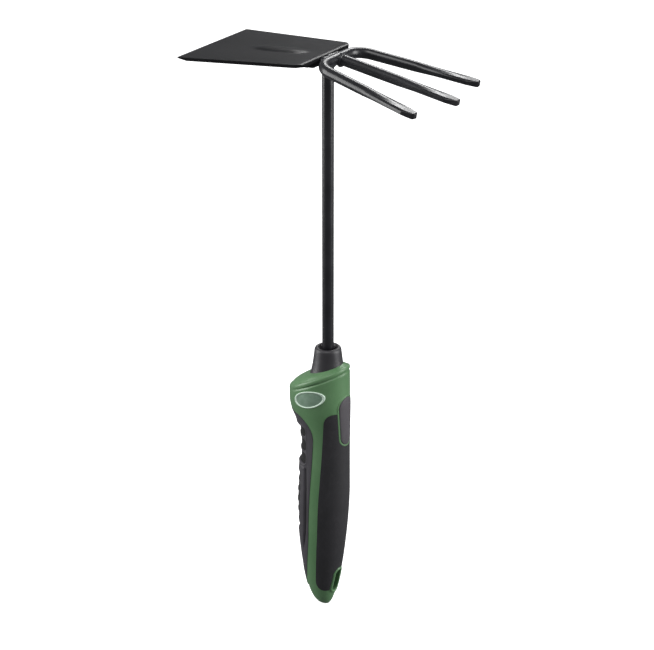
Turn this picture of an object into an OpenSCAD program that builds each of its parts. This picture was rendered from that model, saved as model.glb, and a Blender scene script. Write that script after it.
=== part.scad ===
// Hand cultivator: a flat hoe blade and three tines welded to a steel rod with a moulded handle.
// Millimetres. +Z runs up the rod from the butt to the head, +X points along the tines.

/* [Rod] */
// Diameter of the steel rod
rod_d = 8; // [6:0.1:12]
// Height of the rod's top end above the butt
rod_top = 404; // [300:1:520]
// Depth the rod reaches below the top of the neck
rod_grip = 110; // [60:1:150]

/* [Blade] */
// Distance from the rod's axis to the cutting edge
blade_reach = 92.5; // [60:0.5:130]
// Width of the cutting edge
blade_edge_w = 80; // [50:0.5:120]
// Width of the blade at its rear
blade_rear_w = 61; // [40:0.5:100]
// Thickness of the plate
blade_t = 2.2; // [1.5:0.1:4]
// Droop of the blade towards its cutting edge, in degrees
blade_droop = 4.4; // [0:0.1:15]
// Radius of the rear corners
blade_corner_r = 7; // [3:0.5:12]
// Length of the ground bevel behind the cutting edge
blade_bevel = 7; // [3:0.5:12]
// Length of the pressed stiffening rib
rib_len = 40; // [20:0.5:60]
// Height of the pressed stiffening rib
rib_h = 1.2; // [0.6:0.1:2]

/* [Tines] */
// Diameter of the tine rod
tine_d = 7.4; // [5:0.1:10]
// Distance from the rod's axis to the tip of the centre tine
tine_reach = 98.4; // [70:0.2:130]
// Distance from the rod's axis to the tips of the outer tines
fork_reach = 90.6; // [65:0.2:120]
// Half width of the fork where its arms begin
fork_half_w = 25.2; // [16:0.1:35]
// Bend radius of the fork's corners, to the middle of the rod
fork_bend_r = 14; // [9:0.5:18]
// Splay of each outer tine, in degrees
fork_splay = 11.6; // [0:0.1:20]
// Droop of the tines, in degrees
tine_droop = 9.2; // [0:0.1:20]
// Width of the flattened tips
tip_w = 9; // [7:0.1:12]
// Thickness of the flattened tips
tip_t = 4; // [3:0.1:6]
// Length of the flattened part of each tine
tip_len = 44; // [25:0.5:55]
// Length of the pointed end of each tine
point_len = 10; // [6:0.5:14]

/* [Handle] */
// Height of the handle's sloping top at the rod
handle_len = 183; // [150:1:220]
// Reach of the grip from the rod's axis to its front at the belly
belly_front = 23.2; // [18:0.1:28]
// Reach of the grip from the rod's axis to its back
grip_back = 15.5; // [12:0.1:20]
// Reach of the grip to its front at the waist
waist_front = 20.7; // [16:0.1:26]
// Reach of the finger guard
guard_front = 28.7; // [24:0.1:34]
// Width of the grip as a share of its depth
grip_flat = 0.85; // [0.7:0.01:1]
// Slope of the handle's top, in degrees
top_slope = 25; // [10:0.5:35]
// Thickness of the soft panels
panel_t = 2; // [1.2:0.1:3]
// Depth of the finger windows in the soft panel
window_depth = 1.3; // [0.6:0.1:1.6]
// Width of the hard band between the soft panels
band_w = 7; // [4:0.1:12]

/* [Neck] */
// Outside diameter of the neck's mouth
neck_d = 17.6; // [13:0.1:22]
// Height of the neck above the handle's top
neck_h = 17; // [10:0.5:26]
// Diameter of the dished mouth
mouth_d = 12; // [9:0.1:16]

/* [Hang slot] */
// Width of the hang slot
slot_w = 6; // [4.5:0.1:8]
// Length of the hang slot
slot_len = 17.5; // [12:0.5:22]
// Height of the middle of the hang slot
slot_z = 21.5; // [17:0.5:28]

/* [Badge] */
// Length of the oval badge
badge_len = 24.4; // [16:0.2:28]
// Height of the oval badge
badge_h = 12.4; // [8:0.2:16]

/* [Hidden] */
$fn = 48;
steel = [0.13, 0.13, 0.14];
soft = [0.17, 0.17, 0.18];
green = [0.25, 0.45, 0.24];
rod_r = rod_d / 2;
tine_r = tine_d / 2;
slack = 0.2;
big = 200;
// the drawing sits so that the middle of its length is over the origin
shift_x = (blade_reach - tine_reach) / 2;
// blade
bend_r = blade_t + 1;
flange = 2;
blade_rear_x = -3.5;
blade_z = rod_top + bend_r + flange - 0.5;
blade_len = (blade_reach + blade_rear_x) / cos(blade_droop);
// fork and centre tine
fork_x = rod_r + tine_r - 0.3;
fork_z = rod_top + tine_r - 0.6;
tine_z = fork_z + 0.5;
turn = 90 - fork_splay;
side = fork_half_w - fork_bend_r * sin(turn);
arm_x = fork_bend_r * (1 - cos(turn));
arm_len = ((fork_reach - fork_x) / cos(tine_droop) - arm_x) / cos(fork_splay);
centre_len = (tine_reach - fork_x) / cos(tine_droop);
// handle
points = 28;
slope = tan(top_slope);
belly_z = 82;
waist_z = 125;
guard_z = handle_len - 8;
lean_z = guard_z - 40;
neck_top = handle_len + neck_h;
plug_d = neck_d - 3.4;
plug_depth = 22;

function blend(u) = u <= 0 ? 0 : u >= 1 ? 1 : u * u * (3 - 2 * u);
// how far the sloping rings have leaned over at height z
function lean(z) = slope * blend((z - lean_z) / 37);
// the lip round the top edge and the groove under it
function lip(z) = z > handle_len - 2 ? 2.2 * (1 - sqrt(1 - pow((z - handle_len + 2) / 2, 2) * 0.96)) : 0;
function groove(z) = abs(z - handle_len + 5) < 1.3 ? 0.8 * cos(abs(z - handle_len + 5) / 1.3 * 90) : 0;
function low(z, top, p) = pow(1 - pow((top - z) / top, 1.5), p);
function front(z) = z < belly_z ? belly_front * low(z, belly_z, 0.295)
    : z < waist_z ? belly_front + (waist_front - belly_front) * blend((z - belly_z) / (waist_z - belly_z))
    : waist_front + (guard_front - waist_front) * blend(pow((z - waist_z) / (guard_z - waist_z), 1.25));
function back(z) = z < 95 ? grip_back * low(z, 95, 0.59) : grip_back - 0.5 * blend((z - 150) / 30);
function trim(z) = lip(z) + groove(z);
// ring heights: close together at the butt, round the groove and at the top edge
function ring_z(i) = i < 6 ? 0.5 + 14.5 * pow(i / 5, 2)
    : i < 17 ? 15 + (handle_len - 17 - 15) * (i - 5) / 11
    : i < 19 ? handle_len - 17 + 5.3 * (i - 16)
    : handle_len - [6.2, 5, 3.8, 2, 0.8, 0][i - 19];
ring_n = 25;
function ring(z, inset) = let(f = front(z) - trim(z) - inset, b = back(z) - trim(z) - inset,
    m = (b - f) / 2, a = (f + b) / 2, w = a * grip_flat - inset * (1 - grip_flat))
    [for (j = [0:points - 1]) let(x = m + a * cos(360 * j / points), y = w * sin(360 * j / points))
        [x, y, z + lean(z) * x]];

// the grip's whole outside, or the same shape drawn in by an inset
module grip_form(inset = 0) {
    first = inset > 0 ? 3 : 0;
    count = ring_n - first;
    dots = concat([for (i = [first:ring_n - 1]) each ring(ring_z(i), inset)],
        [[-2.5, 0, first == 0 ? 0 : ring_z(first) - 1]], [[0, 0, handle_len]]);
    apex = count * points;
    walls = [for (i = [0:count - 2]) for (j = [0:points - 1]) let(k = (j + 1) % points)
        each [[i * points + j, (i + 1) * points + j, (i + 1) * points + k],
              [i * points + j, (i + 1) * points + k, i * points + k]]];
    foot = [for (j = [0:points - 1]) [apex, j, (j + 1) % points]];
    head = [for (j = [0:points - 1]) [apex + 1, (count - 1) * points + (j + 1) % points, (count - 1) * points + j]];
    polyhedron(points = dots, faces = concat(walls, foot, head), convexity = 4);
}

// prism through the grip from side to side, drawn as x and z
module across() {
    rotate([90, 0, 0]) linear_extrude(height = big, center = true) children();
}

// prism through the grip from front to back, drawn as y and z
module along(from_x) {
    translate([from_x, 0, 0]) rotate([90, 0, 90]) linear_extrude(height = big) children();
}

// front edge and back edge of the hard band, from the butt to the guard
function band_back(z) = 5.3 - 0.06 * (144 - z) - (z < 60 ? (60 - z) * 0.03 : 0);
function band_front(z) = band_back(z) - band_w - (z < 60 ? 0.6 * pow((60 - z) / 22, 2) : 0);

module finger_shape() {
    top_z = handle_len - 47.5;
    across() polygon(concat(
        [for (a = [90:-10:0]) [-20 + (20 + band_front(top_z)) * cos(a), top_z + 17.5 * sin(a)]],
        [for (z = [72, 58, 45, 34, 24]) [band_front(z), z]],
        [[-13.5, 18], [-big, 12], [-big, top_z + 17.5]]));
}

module thumb_shape(extra) {
    top_z = handle_len - 23;
    low_z = handle_len - 47.5;
    along(0) polygon(concat(
        [for (a = [0:15:180]) [(7.2 + extra) * cos(a), top_z + (7.2 + extra) * sin(a)]],
        [for (a = [180:15:360]) [(5.8 + extra) * cos(a), low_z + (5.8 + extra) * sin(a)]]));
}

module palm_shape() {
    top_z = handle_len - 35;
    difference() {
        across() polygon(concat(
            [[big, top_z + 8.5], [12, top_z + 8.5]],
            [for (a = [110:10:180]) [11.5 + (11.5 - band_back(top_z)) * cos(a), top_z + 8.5 * sin(a)]],
            [for (z = [110, 72, 50, 34]) [band_back(z), z]],
            [for (a = [180:20:270]) [2 + 5.4 * cos(a), 21 + 7 * sin(a)]],
            [[big, 14]]));
        thumb_shape(1.3);
        // the hard rim round the hang slot
        along(0) polygon(concat(
            [for (a = [0:15:180]) [(slot_w / 2 + 2.2) * cos(a), slot_z + slot_len / 2 - 3 + (slot_w / 2 + 2.2) * sin(a)]],
            [[-slot_w / 2 - 2.2, -10], [slot_w / 2 + 2.2, -10]]));
    }
}

module badge_shape() {
    mid_z = handle_len - 16;
    translate([-4.6, 0, mid_z]) rotate([0, -18, 0]) rotate([90, 0, 0]) linear_extrude(height = big)
        polygon([for (a = [0:12:348]) [badge_len / 2 * cos(a), badge_h / 2 * sin(a)]]);
}

// what a panel fills: its shape through the outer layer of the grip
module layer() {
    difference() {
        children();
        grip_form(panel_t);
    }
}

module slot_shape() {
    half = (slot_len - slot_w) / 2;
    for (s = [-1, 1]) translate([-big / 2, 0, slot_z + s * half]) rotate([0, 90, 0]) cylinder(h = big, d = slot_w);
    translate([-big / 2, -slot_w / 2, slot_z - half]) cube([big, slot_w, 2 * half]);
}

// a flattened and pointed end for a tine, its length along +X from the origin
module tine_end() {
    body = tip_len - point_len;
    intersection() {
        rotate([0, 90, 0]) cylinder(h = tip_len, r1 = tine_r, r2 = tine_r + 1.8 * tip_len / body);
        rotate([90, 0, 0]) linear_extrude(height = 3 * tip_w, center = true)
            polygon([[-1, -tine_r - 1], [body, -tip_t / 2], [tip_len - 1, -tip_t / 2], [tip_len + 0.5, -tip_t / 2 + 1.5],
                     [tip_len + 0.5, tip_t / 2 - 1.5], [tip_len - 1, tip_t / 2], [body, tip_t / 2], [-1, tine_r + 1]]);
        linear_extrude(height = 3 * tip_w, center = true)
            polygon(concat([[-1, -tine_r - 1], [body, -tip_w / 2]],
                [for (a = [-60:20:60]) [tip_len - 1.9 + 1.9 * cos(a), 1.9 * sin(a)]],
                [[body, tip_w / 2], [-1, tine_r + 1]]));
    }
}

// the rod of the fork as a chain of round sections: [x, y, heading, distance from the tip]
sides = 20;
function arm_at(d) = [arm_x + (arm_len - d) * cos(fork_splay), fork_half_w + (arm_len - d) * sin(fork_splay), fork_splay, d];
half_chain = concat(
    [for (a = [0:turn / 6:turn + 0.1]) [fork_bend_r * (1 - cos(a)), side + fork_bend_r * sin(a), 90 - a, tip_len]],
    [for (d = [tip_len, tip_len * 0.82, tip_len * 0.64, tip_len * 0.46, tip_len * 0.33, point_len, 5, 1.6, 0.5, 0]) arm_at(d)]);
half_n = len(half_chain);
// the other half runs backwards along -y, so its headings turn round
chain = concat([for (i = [half_n - 1:-1:0]) let(c = half_chain[i]) [c[0], -c[1], 180 - c[2], c[3]]], half_chain);

// the tine's section at a distance from its tip: round, then pressed flat, then pointed
function corner(v, n) = sign(v) * pow(abs(v), 2 / n);
function tine_section(d) = let(body = tip_len - point_len, u = min(1, (tip_len - d) / body), n = 2 + 3.5 * u,
    thick = (tine_r + (tip_t / 2 - tine_r) * u) * (d < 1 ? 0.7 + 0.3 * d : 1),
    full = tine_r + (tip_w / 2 - tine_r) * u,
    wide = full * (d < point_len ? 0.42 + 0.58 * d / point_len : 1) * (d < 1.7 ? 1 - 0.4 * pow(1 - d / 1.7, 2) : 1))
    [for (j = [0:sides - 1]) let(a = 360 * (j + 0.5) / sides) [wide * corner(cos(a), n), thick * corner(sin(a), n)]];

module fork_solid() {
    n = len(chain);
    dots = [for (c = chain) each [for (q = tine_section(c[3]))
        [c[0] - q[0] * sin(c[2]), c[1] + q[0] * cos(c[2]), q[1]]]];
    walls = [for (i = [0:n - 2]) for (j = [0:sides - 1]) let(k = (j + 1) % sides)
        each [[i * sides + j, (i + 1) * sides + k, i * sides + k],
              [i * sides + j, (i + 1) * sides + j, (i + 1) * sides + k]]];
    ends = [[for (j = [0:sides - 1]) j], [for (j = [sides - 1:-1:0]) (n - 1) * sides + j]];
    translate([fork_x, 0, fork_z]) rotate([0, tine_droop, 0])
        polyhedron(points = dots, faces = concat(walls, ends), convexity = 6);
}

// the straight closed end of the fork, for what is welded to it
module fork_bar() {
    translate([fork_x, 0, fork_z]) rotate([0, tine_droop, 0]) rotate([90, 0, 0])
        linear_extrude(height = 2 * side, center = true)
            polygon([for (j = [0:sides - 1]) let(a = 360 * (j + 0.5) / sides) tine_r * [cos(a), sin(a)]]);
}

module tine_solid() {
    difference() {
        translate([fork_x, 0, tine_z]) rotate([0, tine_droop, 0]) {
            rotate([0, 90, 0]) cylinder(h = centre_len - tip_len, r = tine_r);
            translate([centre_len - tip_len, 0, 0]) tine_end();
        }
        fork_bar();
    }
}

module blade_solid() {
    half_edge = blade_edge_w / 2;
    half_rear = blade_rear_w / 2;
    r = blade_corner_r;
    rib_r = 11;
    translate([blade_rear_x, 0, blade_z]) rotate([0, -blade_droop, 0]) {
        intersection() {
            rotate([90, 0, 0]) linear_extrude(height = big, center = true)
                polygon(concat([[-blade_len, 0], [-blade_len, -0.5], [blade_bevel - blade_len, -blade_t], [0, -blade_t]],
                    [for (a = [75:-15:0]) [cos(a), sin(a) - bend_r]],
                    [[1, -bend_r - flange], [bend_r, -bend_r - flange]],
                    [for (a = [0:15:90]) [bend_r * cos(a), bend_r * sin(a) - bend_r]]));
            linear_extrude(height = 4 * bend_r, center = true)
                polygon(concat([[-blade_len, -half_edge]],
                    [for (a = [-85:10:-5]) [bend_r - r + r * cos(a), -half_rear + r + r * sin(a)]],
                    [[bend_r, 0]],
                    [for (a = [5:10:85]) [bend_r - r + r * cos(a), half_rear - r + r * sin(a)]],
                    [[-blade_len, half_edge]]));
        }
        intersection() {
            translate([-12 - rib_len, 0, rib_h - rib_r]) {
                translate([5, 0, 0]) rotate([0, 90, 0]) cylinder(h = rib_len - 10, r = rib_r);
                for (x = [5, rib_len - 5]) translate([x, 0, 0]) sphere(r = rib_r);
            }
            translate([-blade_len, -10, -blade_t / 2]) cube([blade_len, 20, 10]);
        }
    }
}

module rod_solid() {
    translate([0, 0, neck_top - rod_grip]) {
        cylinder(h = 2, r1 = rod_r - 1, r2 = rod_r);
        translate([0, 0, 2]) cylinder(h = rod_top - neck_top + rod_grip - 2, r = rod_r);
    }
}

// a straight weld bead along Y, rippled by its pool marks
module bead(n, r, step) {
    rotate([90, 0, 0]) rotate_extrude($fn = 32) polygon(concat(
        [[0, -n * step / 2]],
        [for (i = [0:n - 1]) each [[r - 0.5, (i - n / 2 + 0.15) * step], [r, (i - n / 2 + 0.5) * step],
            [r - 0.2, (i - n / 2 + 0.85) * step]]],
        [[0, n * step / 2]]));
}

module rod() {
    color(steel) translate([shift_x, 0, 0]) difference() {
        rod_solid();
        blade_solid();
        fork_bar();
    }
}

module blade() {
    color(steel) translate([shift_x, 0, 0]) blade_solid();
}

module fork() {
    color(steel) translate([shift_x, 0, 0]) fork_solid();
}

module centre_tine() {
    color(steel) translate([shift_x, 0, 0]) tine_solid();
}

module blade_weld() {
    color(steel) translate([shift_x, 0, 0]) difference() {
        translate([1.9, 0, fork_z - 0.5]) bead(7, 2.6, 3);
        blade_solid();
        fork_bar();
        rod_solid();
    }
}

module fork_weld() {
    color(steel) translate([shift_x, 0, 0]) difference() {
        rotate([0, 0, -70]) rotate_extrude(angle = 140) translate([rod_r + 0.4, rod_top - 1.6]) circle(r = 1.5, $fn = 32);
        rod_solid();
        fork_bar();
        blade_solid();
    }
}

module tine_weld() {
    color(steel) translate([shift_x, 0, 0]) difference() {
        translate([fork_x, 0, tine_z]) rotate([0, tine_droop, 0]) translate([tine_r - 0.2, 0, 0]) rotate([0, 90, 0])
            rotate_extrude($fn = 32) translate([tine_r, 0]) circle(r = 1.7, $fn = 32);
        tine_solid();
        fork_bar();
        rod_solid();
    }
}

module neck() {
    color([0.2, 0.2, 0.21]) translate([shift_x, 0, 0]) difference() {
        union() {
            // the plug that sits in the handle
            translate([0, 0, handle_len - plug_depth]) cylinder(h = plug_depth, d = plug_d);
            difference() {
                rotate_extrude() polygon([[0, handle_len - 12], [neck_d / 2 + 5.6, handle_len - 12],
                    [neck_d / 2 + 4, handle_len - 3], [neck_d / 2 + 2.4, handle_len + 1],
                    [neck_d / 2 + 1.2, handle_len + 7], [neck_d / 2 + 0.1, neck_top - 2.5],
                    [neck_d / 2 - 0.3, neck_top - 1], [neck_d / 2 - 1, neck_top - 0.25], [neck_d / 2 - 1.8, neck_top],
                    [mouth_d / 2, neck_top - 0.4], [mouth_d / 2 - 0.8, neck_top - 1.2],
                    [rod_r + 0.6, neck_top - 3], [0, neck_top - 3]]);
                // it stands on the handle's sloping top
                rotate([0, -top_slope, 0]) translate([0, 0, handle_len * cos(top_slope) - 50])
                    translate([handle_len * sin(top_slope) - big / 2, -big / 2, 0]) cube([big, big, 50]);
            }
        }
        rod_solid();
    }
}

module handle() {
    color(green) translate([shift_x, 0, 0]) difference() {
        grip_form();
        layer() {
            finger_shape();
            palm_shape();
            thumb_shape(0);
            badge_shape();
        }
        slot_shape();
        translate([0, 0, handle_len - plug_depth]) cylinder(h = big, d = plug_d);
        rod_solid();
    }
}

module finger_panel() {
    color(soft) translate([shift_x, 0, 0]) difference() {
        intersection() {
            grip_form();
            layer() finger_shape();
        }
        slot_shape();
        // three finger windows under the guard and a ladder of smaller ones below, all wrapped round the front
        difference() {
            across() {
                window_side(handle_len - 43.5, 3.7, -8.9);
                window_side(handle_len - 53.8, 4.5, -8.7);
                window_side(handle_len - 64.2, 4.4, -9);
                for (i = [0:5]) window_side(handle_len - 80.5 - 7.9 * i, 3.15, -13.8 - 0.5 * i);
            }
            grip_form(window_depth);
        }
    }
}

// a window seen from the side: its end at x = edge has round corners, and it runs out past the front
module window_side(z, half, edge) {
    r = 1.6;
    polygon(concat([[-big, z - half]],
        [for (a = [-90:30:0]) [edge - r + r * cos(a), z - half + r + r * sin(a)]],
        [for (a = [0:30:90]) [edge - r + r * cos(a), z + half - r + r * sin(a)]],
        [[-big, z + half]]));
}

module palm_panel() {
    color(soft) translate([shift_x, 0, 0]) intersection() {
        grip_form();
        layer() palm_shape();
    }
}

module thumb_pad() {
    color([0.32, 0.31, 0.33]) translate([shift_x, 0, 0]) intersection() {
        grip_form();
        layer() thumb_shape(0);
    }
}

module badge() {
    color([0.75, 0.83, 0.76]) translate([shift_x, 0, 0]) intersection() {
        grip_form();
        layer() badge_shape();
    }
}

rod();
blade();
fork();
centre_tine();
blade_weld();
fork_weld();
tine_weld();
neck();
handle();
finger_panel();
palm_panel();
thumb_pad();
badge();
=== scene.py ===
# %% [markdown]
# # A hand cultivator: hoe blade and three tines on one rod
# This lesson dresses the frame of a two-in-one garden tool. The frame holds every part as
# a plain solid in its right place. Here each part is modelled again with softer edges and
# finer relief, and gets a finish of its own. The frame is loaded first. The finished
# model must stay inside it.

import math

import bmesh
import bpy
from mathutils import Matrix, Vector


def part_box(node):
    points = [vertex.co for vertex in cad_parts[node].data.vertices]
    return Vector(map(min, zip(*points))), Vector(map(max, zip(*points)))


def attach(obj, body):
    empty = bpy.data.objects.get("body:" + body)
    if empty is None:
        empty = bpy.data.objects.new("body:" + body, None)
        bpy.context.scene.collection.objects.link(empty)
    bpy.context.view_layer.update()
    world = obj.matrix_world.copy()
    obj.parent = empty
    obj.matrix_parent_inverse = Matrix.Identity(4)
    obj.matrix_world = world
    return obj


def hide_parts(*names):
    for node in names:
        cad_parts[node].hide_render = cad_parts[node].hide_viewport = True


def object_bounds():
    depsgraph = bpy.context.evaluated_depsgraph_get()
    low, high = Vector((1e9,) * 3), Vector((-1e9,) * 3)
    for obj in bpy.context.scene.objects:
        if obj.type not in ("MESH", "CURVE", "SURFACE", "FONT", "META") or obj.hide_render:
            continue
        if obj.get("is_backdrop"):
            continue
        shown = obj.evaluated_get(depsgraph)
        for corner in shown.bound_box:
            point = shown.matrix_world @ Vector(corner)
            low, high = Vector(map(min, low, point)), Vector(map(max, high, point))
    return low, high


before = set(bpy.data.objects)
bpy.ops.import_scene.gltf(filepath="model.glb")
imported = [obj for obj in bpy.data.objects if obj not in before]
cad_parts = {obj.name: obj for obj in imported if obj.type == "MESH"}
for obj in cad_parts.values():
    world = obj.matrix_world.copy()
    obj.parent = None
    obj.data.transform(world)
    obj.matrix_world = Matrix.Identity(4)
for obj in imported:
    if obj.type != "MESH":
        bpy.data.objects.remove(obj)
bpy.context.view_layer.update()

# %% [markdown]
# ## Working in millimetres
# A maker thinks in millimetres, and Blender in metres. The shapes below are built in
# millimetres round the rod's axis. The rod stands a little off the frame's middle, and
# the rod's own box says how far. One helper scales and shifts each finished mesh, makes
# its object, and hangs it on the frame.

# %% millimetres, and a finished piece
rod_low, rod_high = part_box("rod")
AXIS_X = (rod_low.x + rod_high.x) / 2
TO_FRAME = Matrix.Translation((AXIS_X, 0, 0)) @ Matrix.Scale(0.001, 4)
print("rod axis at x", round(AXIS_X, 5))


def finished(name, bm, finish, nodes, crease=35, recalc=True):
    """Turns a mesh in millimetres into a piece in the frame, smooth except at its creases."""
    bmesh.ops.remove_doubles(bm, verts=bm.verts[:], dist=1e-4)
    if recalc:
        bmesh.ops.recalc_face_normals(bm, faces=bm.faces[:])
    bm.transform(TO_FRAME)
    for face in bm.faces:
        face.smooth = True
    mesh = bpy.data.meshes.new(name)
    bm.to_mesh(mesh)
    bm.free()
    mesh.set_sharp_from_angle(angle=math.radians(crease))
    piece = bpy.data.objects.new(name, mesh)
    bpy.context.scene.collection.objects.link(piece)
    mesh.materials.append(finish)
    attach(piece, "root")
    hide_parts(*nodes)
    print(name, len(mesh.polygons), "faces")
    return piece


# %% [markdown]
# ## Writing a finish as a sum
# A finish is a tree of shader nodes. Long trees are hard to read, so a small class wraps
# one socket and lets it be added, multiplied and so on like a number. Every other node
# comes from one method that takes the node's type, its settings and its sockets.

# %% sockets that can be summed
class Wire:
    """One output socket of a finish, used like a number."""

    def __init__(self, recipe, socket):
        self.recipe, self.socket = recipe, socket

    def op(self, name, first, second=None):
        sockets = {0: first} if second is None else {0: first, 1: second}
        return self.recipe.add("ShaderNodeMath", {"operation": name}, sockets)

    def __add__(self, other):
        return self.op("ADD", self, other)

    def __sub__(self, other):
        return self.op("SUBTRACT", self, other)

    def __rsub__(self, other):
        return self.op("SUBTRACT", other, self)

    def __mul__(self, other):
        return self.op("MULTIPLY", self, other)

    def __truediv__(self, other):
        return self.op("DIVIDE", self, other)

    def __rtruediv__(self, other):
        return self.op("DIVIDE", other, self)

    def __pow__(self, other):
        return self.op("POWER", self, other)

    __radd__ = __add__
    __rmul__ = __mul__


class Recipe:
    """A finish under construction: one material with a Principled shader."""

    def __init__(self, name):
        self.material = bpy.data.materials.new(name)
        self.material.use_nodes = True
        self.tree = self.material.node_tree
        self.shader = self.tree.nodes["Principled BSDF"]
        self.place = self.add("ShaderNodeTexCoord", out="Object")

    def feed(self, socket, value):
        if isinstance(value, Wire):
            self.tree.links.new(value.socket, socket)
        else:
            socket.default_value = value

    def add(self, kind, settings=None, sockets=None, out=0):
        node = self.tree.nodes.new(kind)
        for key, value in (settings or {}).items():
            if key == "stops":
                ramp = node.color_ramp.elements
                while len(ramp) < len(value):
                    ramp.new(0.5)
                for stop, (spot, shade) in zip(ramp, value):
                    stop.position, stop.color = spot, shade
            else:
                setattr(node, key, value)
        for key, value in (sockets or {}).items():
            self.feed(node.inputs[key], value)
        return Wire(self, node.outputs[out])

    def noise(self, scale, detail=2.0, rough=0.5, where=None):
        return self.add("ShaderNodeTexNoise", None, {
            "Vector": where or self.place, "Scale": scale, "Detail": detail, "Roughness": rough})

    def grains(self, scale, where=None):
        return self.add("ShaderNodeTexVoronoi", {"feature": "SMOOTH_F1"}, {
            "Vector": where or self.place, "Scale": scale, "Smoothness": 0.6})

    def ramp(self, value, low, high, bottom=0.0, top=1.0):
        """Runs from bottom to top, smoothly, while value runs from low to high."""
        return self.add("ShaderNodeMapRange", {"interpolation_type": "SMOOTHSTEP"}, {
            "Value": value, "From Min": low, "From Max": high, "To Min": bottom, "To Max": top})

    def mix(self, mask, first, second):
        return self.add("ShaderNodeMix", {"data_type": "RGBA"}, {0: mask, 6: first, 7: second}, out=2)

    def axis(self, name):
        return self.add("ShaderNodeSeparateXYZ", None, {0: self.place}, out=name)

    def finish(self, colour, rough, relief=None, depth=0.0, coat=None, **fixed):
        self.feed(self.shader.inputs["Base Color"], colour)
        self.feed(self.shader.inputs["Roughness"], rough)
        if relief is not None:
            bump = self.add("ShaderNodeBump", None, {"Height": relief, "Strength": 1.0, "Distance": depth})
            self.feed(self.shader.inputs["Normal"], bump)
        if coat is not None:
            self.feed(self.shader.inputs["Coat Weight"], coat)
        for key, value in fixed.items():
            self.shader.inputs[key.replace("_", " ")].default_value = value
        print("finish", self.material.name, len(self.tree.nodes), "nodes")
        return self.material


def shade(r, g, b):
    """A colour as it is seen on a screen, 0 to 255, as the shader wants it."""
    def line(c):
        c = c / 255
        return c / 12.92 if c <= 0.04045 else ((c + 0.055) / 1.055) ** 2.4
    return (line(r), line(g), line(b), 1.0)


# %% [markdown]
# ## Black paint on steel
# The blade, the tines, the rod and the welds are dipped or sprayed in one satin black
# enamel. Sprayed paint is never flat: it has a soft orange peel, a slightly cloudy gloss
# and a few dust nibs. Bare steel grins through only where the tool meets the soil, at the
# tine points and along the ground edge of the blade, so a mask by position starts there
# and noise breaks it up.

# %% the painted steel finishes
def painted_steel(name, wear_from=None, wear_to=None, wear_side=1, tone=1.0, gloss=1.5):
    r = Recipe(name)
    cloud = r.noise(45, 3.0, 0.55)
    peel = r.noise(900, 2.0, 0.5)
    nibs = r.ramp(r.noise(2600, 1.0, 0.5), 0.72, 0.80)
    scuffs = r.ramp(r.noise(160, 6.0, 0.75), 0.58, 0.78)
    dark = shade(21 * tone, 21 * tone, 24 * tone)
    light = shade(33 * tone, 33 * tone, 37 * tone)
    colour = r.mix(r.ramp(cloud, 0.3, 0.7), dark, light)
    colour = r.mix(scuffs * 0.10, colour, shade(84, 83, 85))
    rough = 0.27 + cloud * 0.10 + scuffs * 0.10
    if wear_from is not None:
        reach = r.ramp(r.axis("X") * wear_side, wear_from * wear_side, wear_to * wear_side)
        worn = r.ramp(reach * 0.7 + r.noise(240, 4.0, 0.6) * 0.5, 0.80, 1.05)
        colour = r.mix(worn * 0.22, colour, shade(96, 94, 93))
        rough = rough - worn * 0.04
    return r.finish(colour, rough, peel * 0.75 + nibs * 0.4 - scuffs * 0.15, 0.000022,
                    IOR=gloss)


rod_paint = painted_steel("rod enamel")
# The blade gets a darker copy of the same enamel (tone 0.55): painted shade for the blade lying darker in the
# light than the rod and tines. Its lower IOR only dulls the gloss.
blade_paint = painted_steel("blade enamel", -0.0890, -0.0962, -1, 0.55, 1.22)
tine_paint = painted_steel("tine enamel", 0.078, 0.0975, 1)
weld_paint = painted_steel("weld enamel", tone=1.05)

# %% [markdown]
# ## Moulded plastic and soft grip
# The handle is moulded twice: first in hard green plastic, then in soft black rubber that
# fills its pockets. The mould is sparked, so both have a fine grain of about a third of a
# millimetre, deeper on the rubber. The green swirls very slightly where the plastic
# flowed. The rubber picks up a pale bloom of dust in scattered patches.

# %% the plastic and rubber finishes
def hard_plastic(name, dark, light, rough, grain=0.00005, spread=28):
    r = Recipe(name)
    flow = r.noise(spread, 4.0, 0.6)
    grit = r.grains(3200)
    haze = r.noise(300, 5.0, 0.7)
    rub = r.ramp(r.noise(95, 6.0, 0.8), 0.6, 0.8)
    colour = r.mix(r.ramp(flow, 0.32, 0.68), shade(*dark), shade(*light))
    colour = r.mix(grit * 0.12, colour, shade(*[c * 0.72 for c in dark]))
    gloss = rough + haze * 0.12 + rub * 0.08 - 0.06
    return r.finish(colour, gloss, grit * 0.8 + haze * 0.35, grain, IOR=1.5)


def soft_rubber(name, dark, light, rough=0.72, grain=0.00009, relief=False):
    r = Recipe(name)
    cloud = r.noise(38, 4.0, 0.6)
    grit = r.grains(2600)
    bloom = r.ramp(r.noise(210, 6.0, 0.75), 0.5, 0.78)
    specks = r.ramp(r.noise(1500, 2.0, 0.6), 0.66, 0.74)
    colour = r.mix(r.ramp(cloud, 0.3, 0.7), shade(*dark), shade(*light))
    colour = r.mix(bloom * 0.10 + specks * 0.10, colour, shade(104, 101, 104))
    gloss = rough + bloom * 0.1 - grit * 0.06
    # Where relief is set, the recess floors stored in the "sunk" attribute are painted almost black: painted
    # shade for the shadow inside the windows, the ladder and the grooves.
    if relief:
        sunk = r.ramp(r.add("ShaderNodeAttribute", {"attribute_name": "sunk"}, out="Fac"), 0.25, 1.1)
        colour = r.mix(sunk * 0.97, colour, shade(7, 7, 8))
        gloss = gloss + sunk * 0.2
    return r.finish(colour, gloss, grit * 0.9 + specks * 0.3, grain, IOR=1.42,
                    Sheen_Weight=0.07, Sheen_Roughness=0.35)


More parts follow.
